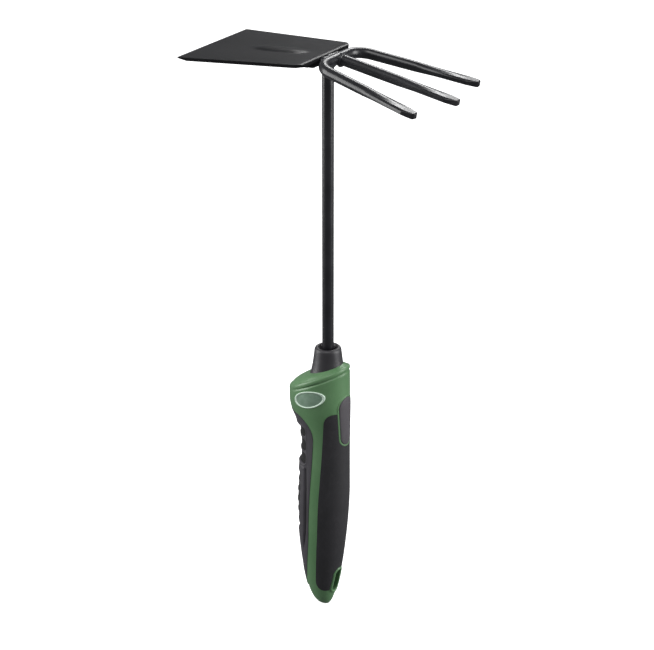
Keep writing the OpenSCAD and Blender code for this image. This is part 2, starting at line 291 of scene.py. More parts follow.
green_plastic = hard_plastic("green moulded plastic", (84, 122, 82), (94, 131, 91), 0.36)
neck_plastic = hard_plastic("dark moulded plastic", (42, 41, 44), (50, 48, 52), 0.44)
palm_rubber = soft_rubber("palm rubber", (37, 37, 39), (43, 42, 45), 0.60)
# The finger rubber is the palm's black rubber painted lighter: painted light for the side of the grip that
# faces the left lamp.
finger_rubber = soft_rubber("finger rubber", (55, 53, 57), (62, 60, 65), 0.56, relief=True)
thumb_rubber = soft_rubber("thumb rubber", (72, 69, 73), (80, 77, 81), 0.60)

# %% [markdown]
# ## One sheet for every lofted shape
# Most parts here are a sheet of quads laid over a smooth form: round and round a rod, or
# up and across a grip. create_grid makes the sheet, each corner is then put where the
# form says, and remove_doubles closes a seam. Corners are placed by row and column, so
# rows can crowd together where the form turns quickly.

# %% the sheet
def sheet(bm, columns, rows, place):
    """A grid of columns by rows cells, with corner (i, j) at place(i, j), in millimetres."""
    made = bmesh.ops.create_grid(bm, x_segments=columns, y_segments=rows, size=1.0)["verts"]
    for corner in made:
        i = round((corner.co.x + 1) / 2 * columns)
        j = round((corner.co.y + 1) / 2 * rows)
        corner.co = place(i, j)
    return made


def tube(bm, rings):
    """A closed skin through rings of equal length, with both ends capped."""
    count = len(rings[0])
    made = sheet(bm, count, len(rings) - 1, lambda i, j: rings[j][i % count])
    bmesh.ops.remove_doubles(bm, verts=made, dist=1e-5)
    open_edges = [e for e in bm.edges if e.is_boundary]
    if open_edges:
        bmesh.ops.holes_fill(bm, edges=open_edges, sides=count + 2)


def turned(bm, outline, steps=64):
    """A lathe-turned shape round Z from (radius, height) points, its poles closed."""
    verts = [bm.verts.new((radius, 0, height)) for radius, height in outline]
    edges = [bm.edges.new(pair) for pair in zip(verts, verts[1:])]
    bmesh.ops.spin(bm, geom=verts + edges, axis=(0, 0, 1), cent=(0, 0, 0),
                   angle=2 * math.pi, steps=steps, use_merge=True)
    bmesh.ops.remove_doubles(bm, verts=bm.verts[:], dist=1e-4)


def easy(u):
    u = min(max(u, 0.0), 1.0)
    return u * u * (3 - 2 * u)


def along(points, at):
    """Reads a curve given as (position, value) pairs, straight between them."""
    if at <= points[0][0]:
        return points[0][1]
    for (a, va), (b, vb) in zip(points, points[1:]):
        if at <= b:
            return va + (vb - va) * (at - a) / (b - a)
    return points[-1][1]


# %% [markdown]
# ## The rod
# An 8 mm round bar runs from inside the handle to the head. It is a turned shape: a line
# of points spun once round. Its buried end is chamfered so that it starts easily in the
# handle, and its skin has the very slight waviness of drawn bar, too fine to model, so
# the paint's relief carries it.

# %% the rod
ROD_R, ROD_FOOT, ROD_TOP = 4.0, 90.0, 404.0
bm = bmesh.new()
turned(bm, [(0, ROD_FOOT), (ROD_R - 1, ROD_FOOT), (ROD_R, ROD_FOOT + 2), (ROD_R, 200), (ROD_R, 260),
            (ROD_R, 330), (ROD_R, ROD_TOP - 0.6), (3.4, ROD_TOP), (0, ROD_TOP)])
finished("rod_bar", bm, rod_paint, ["rod"])

# %% [markdown]
# ## The hoe blade
# The blade is pressed from 2.2 mm sheet: wider at its cutting edge, drooping a little,
# with its rear edge bent down over the rod's end and a stiffening rib pressed up along
# its middle. A sheet of quads follows the top surface round the bend. Extruding the sheet
# gives it its thickness, thinner at the ground cutting edge, and a small bevel softens
# the edges as the paint does.

# %% the blade
BLADE_LEN, BEND_R, BLADE_T, REAR_X, TOP_Z = 89.27, 3.2, 2.2, -3.5, 408.7
BLADE_TILT = Matrix.Translation((REAR_X, 0, TOP_Z)) @ Matrix.Rotation(math.radians(-4.4), 4, "Y")


def half_width(x):
    """Half the blade's width at x, with its rear corners rounded."""
    wide = 30.5 + 9.5 * (BEND_R - x) / (BLADE_LEN + BEND_R)
    if x > BEND_R - 7:
        wide = 30.5 - 7 + math.sqrt(max(49 - (x - BEND_R + 7) ** 2, 0)) + (wide - 30.5)
    if x < -BLADE_LEN + 1.2:
        wide -= 0.5 * (1 - (x + BLADE_LEN) / 1.2) ** 2
    return wide


def rib(x, y):
    """Height of the pressed rib, a bar whose ends fade gently into the sheet."""
    past = max(-40 - x, 0, x + 26) * 0.45
    inside = 361 - y * y - past * past
    crown = math.sqrt(max(inside, 0)) - 17.8
    return 0.5 * (crown + math.sqrt(crown * crown + 0.03)) if crown > -1.5 else 0.0


path = [(BLADE_LEN * (k / 110 - 1), 0.0, 0.0) for k in range(111)]
path += [(BEND_R * math.sin(t), BEND_R * math.cos(t) - BEND_R, t)
         for t in [math.radians(a) for a in range(10, 91, 10)]]
path += [(BEND_R, -BEND_R - d, math.pi / 2) for d in (1.0, 2.0)]
ACROSS = 96


def blade_place(i, j):
    x, z, turn = path[j]
    side = 2 * i / ACROSS - 1
    y = half_width(min(x, BEND_R - 0.001)) * side
    if z < -BEND_R:
        z = -BEND_R + (z + BEND_R) * (0.06 + 0.94 * easy((23.4 - abs(y)) / 7))
    return Vector((x, y, z + (rib(x, y) if turn == 0 else 0)))


bm = bmesh.new()
turn_of = bm.verts.layers.float.new("turn")
top = sheet(bm, ACROSS, len(path) - 1, blade_place)
for corner in top:
    x, z = corner.co.x, corner.co.z
    corner[turn_of] = math.asin(min(max(x / BEND_R, 0), 1)) if z > -BEND_R else math.pi / 2
rim = [e for e in bm.edges if e.is_boundary]
walls = bmesh.ops.extrude_face_region(bm, geom=bm.faces[:], use_keep_orig=True)["geom"]
for corner in [g for g in walls if isinstance(g, bmesh.types.BMVert)]:
    turn = corner[turn_of]
    x = corner.co.x
    thick = BLADE_T if x > 7 - BLADE_LEN else 0.5 + (BLADE_T - 0.5) * (x + BLADE_LEN) / 7
    corner.co += Vector((-math.sin(turn), 0, -math.cos(turn))) * thick
bmesh.ops.recalc_face_normals(bm, faces=bm.faces[:])
bmesh.ops.bevel(bm, geom=rim, offset=0.28, segments=2, profile=0.5, affect="EDGES",
                material=-1, clamp_overlap=True)
bm.transform(BLADE_TILT)
finished("hoe_blade", bm, blade_paint, ["blade"], 50)

# %% [markdown]
# ## The fork and the centre tine
# One round bar is bent into the two outer tines, and a third is welded to its middle. A
# smith presses the last part of each tine flat and grinds it to a blunt point. The
# section therefore changes along the bar, from a circle to a rounded oblong, so each ring
# of the skin is worked out from its distance to the tip.

# %% the tines
TINE_R, TIP_LEN, POINT, BEND, SPLAY = 3.7, 44.0, 8.5, 14.0, math.radians(11.6)
FORK_X, FORK_Z, TINE_Z, DROOP = 7.4, 407.1, 407.6, math.radians(9.2)
SIDES = 120


def tine_section(d):
    """The section at d from the tip: round, then pressed to a flat with chamfered sides, then pointed."""
    u = min(1.0, max(0.0, (TIP_LEN + 4 - d) / (TIP_LEN + 4 - POINT)))
    wide = 4.75 * (0.44 + 0.56 * d / POINT if d < POINT else 1.0)
    wide *= 1 - 0.4 * (1 - d / 1.7) ** 2 if d < 1.7 else 1.0
    thick = 2.05 * (0.72 + 0.28 * math.sqrt(min(d, 1)))
    out = []
    for k in range(SIDES):
        a = 2 * math.pi * (k + 0.5) / SIDES
        c, s = abs(math.cos(a)), abs(math.sin(a))
        lean_in = c / (wide + 2.2) + s / (thick + 1.75)
        pressed = min(wide / max(c, 1e-6), thick / max(s, 1e-6), 1 / lean_in)
        reach = TINE_R * (1 - u) + pressed * u
        reach = min(reach, TINE_R + 0.9 * u, ) if u < 0.15 else reach
        out.append((reach * math.cos(a), reach * math.sin(a)))
    return out


def tine_ring(x, y, heading, d):
    return [Vector((x - q * math.sin(heading), y + q * math.cos(heading), h))
            for q, h in tine_section(d)]


TURN = math.pi / 2 - SPLAY
SIDE = 25.2 - BEND * math.sin(TURN)
ARM_X = BEND * (1 - math.cos(TURN))
ARM = ((90.6 - FORK_X) / math.cos(DROOP) - ARM_X) / math.cos(SPLAY)
steps = [TIP_LEN - (TIP_LEN - POINT) * k / 24 for k in range(25)]
steps += [9, 8, 7, 6, 5, 4, 3.2, 2.4, 1.7, 1.1, 0.6, 0.25, 0.0]
half = [(BEND * (1 - math.cos(a)), SIDE + BEND * math.sin(a), math.pi / 2 - a, TIP_LEN + 9)
        for a in [TURN * k / 20 for k in range(21)]]
half += [(ARM_X + (ARM - d) * math.cos(SPLAY), 25.2 + (ARM - d) * math.sin(SPLAY), SPLAY, d)
         for d in steps]
chain = [(x, -y, math.pi - heading, d) for x, y, heading, d in reversed(half)] + half
DROOPED = Matrix.Translation((FORK_X, 0, FORK_Z)) @ Matrix.Rotation(DROOP, 4, "Y")
bm = bmesh.new()
tube(bm, [tine_ring(*spot) for spot in chain])
bm.transform(DROOPED)
finished("tine_fork", bm, tine_paint, ["fork"], 40)

CENTRE = (98.4 - FORK_X) / math.cos(DROOP)
bm = bmesh.new()
tube(bm, [tine_ring(CENTRE - d, 0, 0, d) for d in [CENTRE - 2, CENTRE - 12, 60, *steps]])
bm.transform(Matrix.Translation((FORK_X, 0, TINE_Z)) @ Matrix.Rotation(DROOP, 4, "Y"))
finished("middle_tine", bm, tine_paint, ["centre_tine"], 40)

# %% [markdown]
# ## The welds
# Each joint is a bead laid by hand, a row of overlapping pools. A swept circle whose
# radius swells and shrinks along its path gives the ripples. Each bead sits in the corner
# between the bars, sunk a little into both.

# %% the welds
def bead(path_at, length, radius, pool, closed=False, sides=20):
    """Rings along path_at(t), t from 0 to 1, rippled once for every pool."""
    count = max(24, int(length / pool * 8))
    rings = []
    for k in range(count if closed else count + 1):
        t = k / count
        spot, ahead = path_at(t), path_at(min(t + 0.002, 1.0) if not closed else t + 0.002)
        way = (ahead - spot) if (ahead - spot).length > 1e-9 else spot - path_at(t - 0.002)
        frame_at = way.normalized().to_track_quat("Z", "Y").to_matrix()
        phase = (t * length / pool) % 1
        r = radius * (0.9 + 0.1 * math.sin(math.pi * phase) ** 0.7)
        r *= 1 if closed else max(0.25, min(1, min(t, 1 - t) * length / radius + 0.25)) ** 0.5
        rings.append([spot + frame_at @ Vector((r * math.cos(a), r * math.sin(a), 0))
                      for a in [2 * math.pi * s / sides for s in range(sides)]])
    return rings + ([rings[0]] if closed else [])


def weld(name, node, path_at, length, radius, pool, closed=False):
    bm = bmesh.new()
    tube(bm, bead(path_at, length, radius, pool, closed))
    return finished(name, bm, weld_paint, [node], 60)


weld("blade_weld_bead", "blade_weld",
     lambda t: Vector((1.9 + 0.25 * math.sin(9 * t), (t - 0.5) * 20.5,
                       FORK_Z - 0.5 + 0.2 * math.sin(14 * t))),
     20.5, 2.55, 2.6)
weld("fork_weld_bead", "fork_weld",
     lambda t: Vector((4.4 * math.cos((t - 0.5) * 2.44), 4.4 * math.sin((t - 0.5) * 2.44),
                       402.4 + 0.2 * math.sin(11 * t))),
     10.7, 1.5, 2.0)
tine_at = Matrix.Translation((FORK_X, 0, TINE_Z)) @ Matrix.Rotation(DROOP, 4, "Y")
weld("tine_weld_bead", "tine_weld",
     lambda t: tine_at @ Vector((TINE_R - 0.2, TINE_R * math.cos(2 * math.pi * t),
                                 TINE_R * math.sin(2 * math.pi * t))),
     23.2, 1.55, 2.1, closed=True)

# %% [markdown]
# ## The form of the grip
# Everything on the handle follows one form: a belly for the palm, a waist for the first
# fingers, a guard that flares forward at the top, and a sloping deck. Each level is an
# oval with its own front and back reach. The levels lean over towards the top, so that
# the guard's rings lie along the deck's slope. skin() gives a point on the form, and
# level() gives the same point at a true height, which the panels' outlines use.

# %% the grip form
LENGTH, SLOPE = 183.0, math.tan(math.radians(25))


def low(z, top, power):
    return (1 - ((top - z) / top) ** 1.5) ** power


def front(z):
    if z < 82:
        return 23.2 * low(max(z, 0), 82, 0.295)
    if z < 125:
        return 23.2 - 2.5 * easy((z - 82) / 43)
    return 20.7 + 8 * easy(((z - 125) / 50) ** 1.25)


def back(z):
    return 15.5 * low(max(z, 0), 95, 0.59) if z < 95 else 15.5 - 0.5 * easy((z - 150) / 30)


def lean(z):
    return SLOPE * easy((z - 135) / 37)


def trim(z):
    lip = 2.2 * (1 - math.sqrt(1 - min((z - 181) / 2, 1) ** 2 * 0.96)) if z > 181 else 0
    return lip


def oval(z, inset=0.0):
    """Middle, half length and half width of a level."""
    f, b = front(z) - trim(z) - inset, back(z) - trim(z) - inset
    return (b - f) / 2, (b + f) / 2, (b + f) / 2 * 0.85 - inset * 0.15


def skin(z, angle, inset=0.0):
    middle, reach, width = oval(z, inset)
    x = middle + reach * math.cos(angle)
    return Vector((x, width * math.sin(angle), z + lean(z) * x))


def ring_height(true_z, x_at):
    """Which leaning ring passes through true height true_z, where x_at(z) is its x."""
    if true_z < 120:
        return true_z
    z_low, z_high = true_z - 18, true_z + 18
    for _ in range(22):
        z = (z_low + z_high) / 2
        if z + lean(z) * x_at(z) < true_z:
            z_low = z
        else:
            z_high = z
    return z


def level(true_z, angle, inset=0.0):
    def x_at(z):
        middle, reach, _ = oval(z, inset)
        return middle + reach * math.cos(angle)
    return skin(ring_height(true_z, x_at), angle, inset)


def angle_at_x(true_z, x):
    """The angle from the back at which the form has this x."""
    middle, reach, _ = oval(ring_height(true_z, lambda z: x))
    return math.acos(min(max((x - middle) / reach, -1), 1))


def angle_at_y(true_z, y, start=0.0):
    """The angle near the back at which the form has this y."""
    angle = start
    for _ in range(8):
        z = ring_height(true_z, lambda h: oval(h)[0] + oval(h)[1] * math.cos(angle))
        angle = math.asin(min(max(y / oval(z)[2], -1), 1))
    return angle


print("grip at the belly", [round(v, 1) for v in skin(82, math.pi)],
      "guard", [round(v, 1) for v in skin(175, math.pi)])

# %% [markdown]
# ## The outlines of the soft panels
# The green shell shows as two bands between the panels. In side view the palm panel ends
# at band_back and the finger panel at band_front. The palm panel also steps round the
# thumb pad and round the rim of the hanging slot.

# %% panel outlines
def band_back(z):
    return 5.3 - 0.06 * (144 - z) - ((60 - z) * 0.03 if z < 60 else 0)


def band_front(z):
    return band_back(z) - 7 - (0.6 * ((60 - z) / 22) ** 2 if z < 60 else 0)


def palm_side(z):
    """x of the palm panel's edge in side view, at height z."""
    if z > 148:
        return 11.5 - (11.5 - band_back(148)) * math.sqrt(max(1 - ((z - 148) / 8.5) ** 2, 0))
    if z < 21:
        return 2 - 5.4 * math.sqrt(max(1 - ((21 - z) / 7) ** 2, 0))
    if z < 34:
        return -3.4 + (band_back(34) + 3.4) * (z - 21) / 13
    return band_back(z)


def thumb_half(z, grow=0.0):
    """Half the thumb pad's width at height z, or 0 where it has ended."""
    top, foot = 7.2 + grow, 5.8 + grow
    if z > 160:
        return math.sqrt(max(top * top - (z - 160) ** 2, 0))
    if z < 137.2:
        return math.sqrt(max(foot * foot - (137.2 - z) ** 2, 0))
    return foot + (top - foot) * (z - 137.2) / 22.8


def slot_half(z, half=5.2, centre=27.25):
    return half if z < centre else math.sqrt(max(half * half - (z - centre) ** 2, 0))


def finger_side(z):
    """x of the finger panel's edge in side view, at height z."""
    if z > 135.5:
        return -20 + (20 + band_front(135.5)) * math.sqrt(max(1 - ((z - 135.5) / 17.5) ** 2, 0))
    if z < 24:
        return -13.5 + (band_front(24) + 13.5) * (z - 18) / 6
    return band_front(z)


# %% [markdown]
# ## The palm panel
# The soft back of the handle is one moulding, symmetrical about the tool's middle plane,
# so half of it is laid out and mirrored. Each row of the sheet runs from the inner edge,
# which is the middle plane, the thumb pad's edge or the slot's rim, to the outer edge at
# the green band. Rows crowd together where an edge turns quickly. The sheet is then
# extruded inwards for its thickness and its outer edge is bevelled.

# %% the palm panel
PROUD = 0.22


def spread(parts):
    """Row heights from (start, end, count, crowd) runs; crowd says which end is finer."""
    rows = []
    for start, end, count, crowd in parts:
        for k in range(count):
            u = k / count
            u = {0: u, 1: 1 - math.cos(u * math.pi / 2), -1: math.sin(u * math.pi / 2)}[crowd]
            rows.append(start + (end - start) * u)
    return rows + [parts[-1][1]]


palm_rows = spread([(14.0, 21, 12, 1), (21, 27.25, 7, 0), (27.25, 32.45, 12, -1), (32.45, 130.1, 98, 0),
                    (130.1, 137.2, 14, 1), (137.2, 148, 12, 0), (148, 156.5, 14, -1)])
palm_edges = []
for z in palm_rows:
    if z < 32.45:
        inner = angle_at_y(z, slot_half(z))
    elif z > 130.1:
        inner = angle_at_y(z, thumb_half(z, 1.3))
    else:
        inner = 0.0
    palm_edges.append((inner, angle_at_x(z, palm_side(z))))


def palm_place(i, j):
    inner, outer = palm_edges[j]
    return level(palm_rows[j], inner + (outer - inner) * i / 40, -PROUD)


def outward(bm):
    """Turns an open skin so that its faces look away from the rod's axis."""
    bm.normal_update()
    facing = sum(f.normal.x * f.calc_center_median().x + f.normal.y * f.calc_center_median().y
                 for f in bm.faces)
    if facing < 0:
        bmesh.ops.reverse_faces(bm, faces=bm.faces[:])
    bm.normal_update()


def thicken(bm, depth, soften, segments=3):
    """Gives a laid-out skin its depth along the inward normals and rounds its outer rim."""
    outward(bm)
    rim = [e for e in bm.edges if e.is_boundary]
    inward = {tuple(round(c, 5) for c in v.co): -v.normal for v in bm.verts}
    made = bmesh.ops.extrude_face_region(bm, geom=bm.faces[:], use_keep_orig=True)["geom"]
    for v in [g for g in made if isinstance(g, bmesh.types.BMVert)]:
        v.co += inward[tuple(round(c, 5) for c in v.co)] * depth
    bmesh.ops.recalc_face_normals(bm, faces=bm.faces[:])
    bmesh.ops.bevel(bm, geom=rim, offset=soften, segments=segments, profile=0.5,
                    affect="EDGES", material=-1, clamp_overlap=True)


bm = bmesh.new()
sheet(bm, 40, len(palm_rows) - 1, palm_place)
bmesh.ops.mirror(bm, geom=bm.verts[:] + bm.edges[:] + bm.faces[:], axis="Y", merge_dist=1e-3)
bmesh.ops.remove_doubles(bm, verts=bm.verts[:], dist=2e-3)
bmesh.ops.recalc_face_normals(bm, faces=bm.faces[:])
thicken(bm, 1.9, 0.3)
finished("palm_cover", bm, palm_rubber, ["palm_panel"], 50)

# %% [markdown]
# ## The finger panel
# The front of the grip is ribbed for the fingers. Under the guard are three wide windows
# that wrap round the front. Below them a ladder of smaller windows runs down between two
# raised rails, and a groove follows each rail. All of this is relief in one soft
# moulding, so a fine sheet is laid out and every corner is pushed in or out by how far
# it is from the edge of a window, rail or groove.

# %% the relief of the finger panel
WINDOWS = [(139.5, 3.7, -8.9), (129.2, 4.5, -8.7), (118.8, 4.4, -9.0)]
LADDER = [102.5 - 7.9 * k for k in range(6)]
RAIL_IN = [(50, -17.2), (60, -16.2), (72, -15.0), (84, -14.0), (95, -13.7), (110, -14.6)]
RAIL_OUT = [(42, -13.4), (50, -12.4), (60, -10.9), (72, -9.9), (84, -9.5), (95, -9.4), (110, -10.2)]


def box_gap(x, z, edge, middle, half, corner):
    """Distance outside a rounded window that ends at x = edge; less than 0 is inside."""
    dx, dz = x - (edge - corner), abs(z - middle) - (half - corner)
    return math.hypot(max(dx, 0), max(dz, 0)) + min(max(dx, dz), 0) - corner


def hump(distance, width):
    u = distance / width
    return 0.5 + 0.5 * math.cos(math.pi * u) if abs(u) < 1 else 0.0


def finger_relief(x, z):
    """How far the finger panel's skin is pushed in, in millimetres."""
    depth = 0.0
    if z > 111:
        outer = box_gap(x, z, -8.8, 128.8, 14.6, 3.0)
        sunk = max(easy((0.15 - box_gap(x, z, edge, middle, half, 2.4)) / 0.7)
                   for middle, half, edge in WINDOWS)
        low_rib = easy((-0.4 - outer) / 0.8) * easy((-13.4 - x) / 2.2)
        depth += 1.45 * max(sunk, 0.55 * low_rib) - 0.30 * hump(outer - 0.7, 0.8)
    if 40 < z < 112.5:
        rail_in, rail_out = along(RAIL_IN, z), along(RAIL_OUT, z)
        fade = easy((z - 42) / 12) * easy((112.5 - z) / 1.5)
        depth -= 0.40 * fade * easy((rail_out - x) / 0.7) * easy((x - rail_in + 0.5) / 0.9)
        slim = 1.25 * (0.45 + 0.55 * easy((z - 42) / 30))
        depth += 0.85 * fade * hump(x - rail_out - slim, slim * 1.15)
        if x < rail_in + 1:
            sunk = max(easy((0.1 - box_gap(x, z, rail_in, middle, 3.35, 1.6)) / 0.6) for middle in LADDER)
            span = easy((rail_in - 1.2 - x) / 1.5) * easy((106.5 - z) / 1.5) * easy((z - 59) / 1.5)
            depth += 0.95 * max(sunk, 0.6 * span)
    return depth


finger_rows = spread([(18.0, 24, 12, 0), (24, 40, 28, 0), (40, 148, 300, 0), (148, 153, 18, -1)])
finger_edges = [math.pi - angle_at_x(z, finger_side(z)) for z in finger_rows]
FINE = 128


def finger_place(i, j):
    z, reach = finger_rows[j], finger_edges[j]
    angle = math.pi + reach * (2 * i / FINE - 1)
    spot = level(z, angle, -PROUD)
    near_edge = easy((reach - abs(angle - math.pi)) * 15 / 1.5)
    near_edge *= easy((153 - z) / 1.5)
    return level(z, angle, finger_relief(spot.x, z) * near_edge - PROUD)


bm = bmesh.new()
# The recess depth stored as "sunk" is read by the finger rubber, which paints shade into the recess floors
# with it.
sunk_by = bm.verts.layers.float.new("sunk")
for corner in sheet(bm, FINE, len(finger_rows) - 1, finger_place):
    corner[sunk_by] = max(finger_relief(corner.co.x, corner.co.z), 0)
thicken(bm, 1.9, 0.22, 2)
finger = finished("finger_cover", bm, finger_rubber, ["finger_panel"], 50)

# %% [markdown]
# ## The thumb pad
# A separate, slightly lighter pad sits high on the back, where the thumb presses. It is a
# tapered oval with round ends. Its skin is a stack of outlines, each drawn in a little
# from the last and laid on the grip's form, so its edge rolls over softly and its top is
# gently crowned.

# %% the thumb pad
def thumb_outline(draw_in, inset, count=36):
    ring = []
    for k in range(count):
        a = math.pi * k / (count - 1)
        ring.append(((7.2 - draw_in) * math.cos(a), 160 + (7.2 - draw_in) * math.sin(a)))
    for k in range(count):
        a = math.pi + math.pi * k / (count - 1)
        ring.append(((5.8 - draw_in) * math.cos(a), 137.2 + (5.8 - draw_in) * math.sin(a)))
    return [level(z, angle_at_y(z, y), inset) for y, z in ring]


bm = bmesh.new()
tube(bm, [thumb_outline(*r) for r in [(0.05, 1.6), (0.0, 0.1), (0.06, -0.2), (0.3, -0.42), (0.7, -0.52),
                                      (1.6, -0.6), (3.0, -0.7), (4.5, -0.76), (5.6, -0.78)]])
finished("thumb_cover", bm, thumb_rubber, ["thumb_pad"], 55)

# %% [markdown]
# ## The green shell
# The hard shell is the whole form of the grip, from the butt to the guard, and it sinks
# into shallow pockets where the soft panels lie. Its rings carry on over the rounded top
# edge and across the sloping deck to the neck. A raised bead frames the thumb pad and
# each end of the hanging slot. The beads are swept along the outline and joined to the
# shell, and the slot is cut through last.

# %% the shell
def pocket(x, y, z):
    """How deep the shell lies under a panel at this place."""
    y = abs(y)
    palm_gap = min(x - palm_side(z), z - 14, 156.5 - z)
    if z > 128:
        palm_gap = min(palm_gap, y - thumb_half(z, 1.3) if z > 130.1 else 130.7 - z + y)
    if z < 33:
        palm_gap = min(palm_gap, y - slot_half(z))
    finger_gap = min(finger_side(z) - x, z - 18, 153 - z)
    thumb_gap = thumb_half(z) - y if x > 0 and 129 < z < 168 else -1
    return 1.9 * max(easy((g - 0.5) / 1.8) for g in (palm_gap, finger_gap, thumb_gap))


AROUND = 176
shell_rows = [0.05, 0.2, 0.5, 1, 1.7, 2.6, 3.7, 5, 6.5, 8.2, 10, 12, 14]
shell_rows += [14 + k * 0.95 for k in range(1, 169)]
shell_rows += [175.2, 176, 176.8, 177.4, 177.7, 178, 178.3, 178.55, 178.8, 179.05, 179.3, 179.6,
               179.9, 180.2, 180.6, 181, 181.5, 181.9, 182.25, 182.5, 182.7, 182.85, 182.95, 183]


def shell_ring(z):
    ring = []
    for k in range(AROUND):
        angle = 2 * math.pi * k / AROUND
        spot = skin(z, angle)
        sunk = pocket(*spot) if 12 < z < 170 else 0
        if abs(z - 178.8) < 1.3:
            fade = 0.2 + 0.8 * easy((math.cos(angle) + 0.8) / 1.1)
            sunk = 0.62 * fade * (0.5 + 0.5 * math.cos((z - 178.8) / 1.3 * math.pi))
        ring.append(skin(z, angle, sunk) if sunk > 0 else spot)
    return ring


deck_normal = Vector((-SLOPE, 0, 1)).normalized()
edge = shell_ring(LENGTH)
deck = [[p.lerp(Vector((0, 0, LENGTH)), k) + deck_normal * rise for p in edge]
        for k, rise in [(0.01, 0.2), (0.03, 0.55), (0.06, 1.0), (0.1, 1.5), (0.15, 2.0), (0.21, 2.4),
                        (0.28, 2.8), (0.38, 3.1), (0.5, 3.4), (0.8, 3.6)]]
bm = bmesh.new()
tube(bm, [shell_ring(z) for z in shell_rows] + deck)


def swept_bead(bm, spots, wide, high):
    """A closed bead through spots on the grip, half sunk in the skin."""
    count, rings = len(spots), []
    for k in range(count):
        ahead = (spots[(k + 1) % count] - spots[k - 1]).normalized()
        out = Vector((spots[k].x, spots[k].y * 0.2, 0)).normalized()
        across = ahead.cross(out).normalized()
        rings.append([spots[k] + across * wide * math.cos(a) + across.cross(ahead) * high * math.sin(a)
                      for a in [2 * math.pi * s / 12 for s in range(12)]])
    part = bmesh.new()
    tube(part, rings + [rings[0]])
    bmesh.ops.recalc_face_normals(part, faces=part.faces[:])
    loose = bpy.data.meshes.new("bead")
    part.to_mesh(loose)
    part.free()
    bm.from_mesh(loose)
    bpy.data.meshes.remove(loose)


def slot_outline(half, angle_for):
    ring = [(half * math.cos(a), 27.25 + half * math.sin(a)) for a in [math.pi * k / 20 for k in range(21)]]
    ring += [(-half, 27.25 - 11.5 * k / 8) for k in range(1, 8)]
    ring += [(-half * math.cos(a), 15.75 - half * math.sin(a)) for a in [math.pi * k / 20 for k in range(21)]]
    ring += [(half, 15.75 + 11.5 * k / 8) for k in range(1, 8)]
    return [level(z, angle_for(z, y), 0.05) for y, z in ring]


swept_bead(bm, thumb_outline(-0.72, 0.12), 0.62, 0.42)
swept_bead(bm, slot_outline(4.0, angle_at_y), 1.0, 0.75)
swept_bead(bm, slot_outline(4.0, lambda z, y: math.pi - angle_at_y(z, y)), 1.0, 0.75)
shell = finished("green_shell", bm, green_plastic, ["handle"], 50, recalc=False)

# %% [markdown]
# ## The hanging slot
# The slot goes right through the butt, front to back. A stadium-shaped block, made from a
# stretched circle, is cut out of the shell and of the finger panel with an exact
# Boolean, and the block is then thrown away. The cut can leave a pinhole where a bead
# crosses the wall, so any that remain are closed.

# %% cut the slot
bm = bmesh.new()
bmesh.ops.create_circle(bm, cap_ends=True, segments=48, radius=3.0)
for corner in bm.verts:
    corner.co.y += 5.75 if corner.co.y > 0 else -5.75
pushed = bmesh.ops.extrude_face_region(bm, geom=bm.faces[:])["geom"]
bmesh.ops.translate(bm, verts=[g for g in pushed if isinstance(g, bmesh.types.BMVert)], vec=(0, 0, 80))
bmesh.ops.recalc_face_normals(bm, faces=bm.faces[:])
LAID_DOWN = Matrix(((0, 0, 1, 0), (1, 0, 0, 0), (0, 1, 0, 0), (0, 0, 0, 1)))
bm.transform(Matrix.Translation((-40, 0, 21.5)) @ LAID_DOWN)
bm.transform(TO_FRAME)
block_mesh = bpy.data.meshes.new("slot block")
bm.to_mesh(block_mesh)
bm.free()
block = bpy.data.objects.new("slot block", block_mesh)
bpy.context.scene.collection.objects.link(block)
for piece in (shell, finger):
    tool = piece.modifiers.new("slot", "BOOLEAN")
    tool.operation, tool.object, tool.solver = "DIFFERENCE", block, "EXACT"
    tool.use_self = piece is shell
    bpy.context.view_layer.update()
    result = bpy.data.meshes.new_from_object(piece.evaluated_get(bpy.context.evaluated_depsgraph_get()))
    mend = bmesh.new()
    mend.from_mesh(result)
    bmesh.ops.remove_doubles(mend, verts=[v for v in mend.verts if v.is_boundary], dist=1e-5)
    bmesh.ops.holes_fill(mend, edges=[e for e in mend.edges if e.is_boundary], sides=12)
    mend.to_mesh(result)
    mend.free()
    piece.modifiers.clear()
    piece.data = result
    piece.data.set_sharp_from_angle(angle=math.radians(50))
    print(piece.name, "cut,", len(result.polygons), "faces")
bpy.data.objects.remove(block)

# %% [markdown]
# ## The neck
# A dark plastic bush closes the top of the handle round the rod. It is a turned cone with
# a softly rounded lip and a shallow mouth, and its foot is cut off along the sloping
# deck.

# %% the neck
bm = bmesh.new()
NECK_R = 9.35
turned(bm, [(0, 172), (NECK_R + 5.2, 172), (NECK_R + 3.7, 180), (NECK_R + 2.3, 184), (NECK_R + 1.7, 187),
            (NECK_R + 1.15, 190), (NECK_R + 0.6, 194), (NECK_R + 0.12, 198.2), (NECK_R, 199.4),
            (NECK_R - 0.2, 200.3), (NECK_R - 0.6, 201.0), (NECK_R - 1.15, 201.45), (NECK_R - 1.8, 201.6),
            (NECK_R - 2.5, 201.5), (6.4, 201.1), (6.0, 200.5), (5.7, 199.6), (4.8, 197.4), (4.0, 197.0),
            (0, 197.0)], 96)
bmesh.ops.bisect_plane(bm, geom=bm.verts[:] + bm.edges[:] + bm.faces[:], plane_co=(0, 0, 184.4),
                       plane_no=(-SLOPE, 0, 1), clear_inner=True, dist=1e-4)
bmesh.ops.holes_fill(bm, edges=[e for e in bm.edges if e.is_boundary], sides=200)
finished("neck_bush", bm, neck_plastic, ["neck"], 40)

# %% [markdown]
# ## The badge
# A small oval badge is let into the guard on one side. Its rim is a raised bead and its
# field is a little domed and left plain, with no mark on it.

# %% the badge
TILT = math.radians(18)


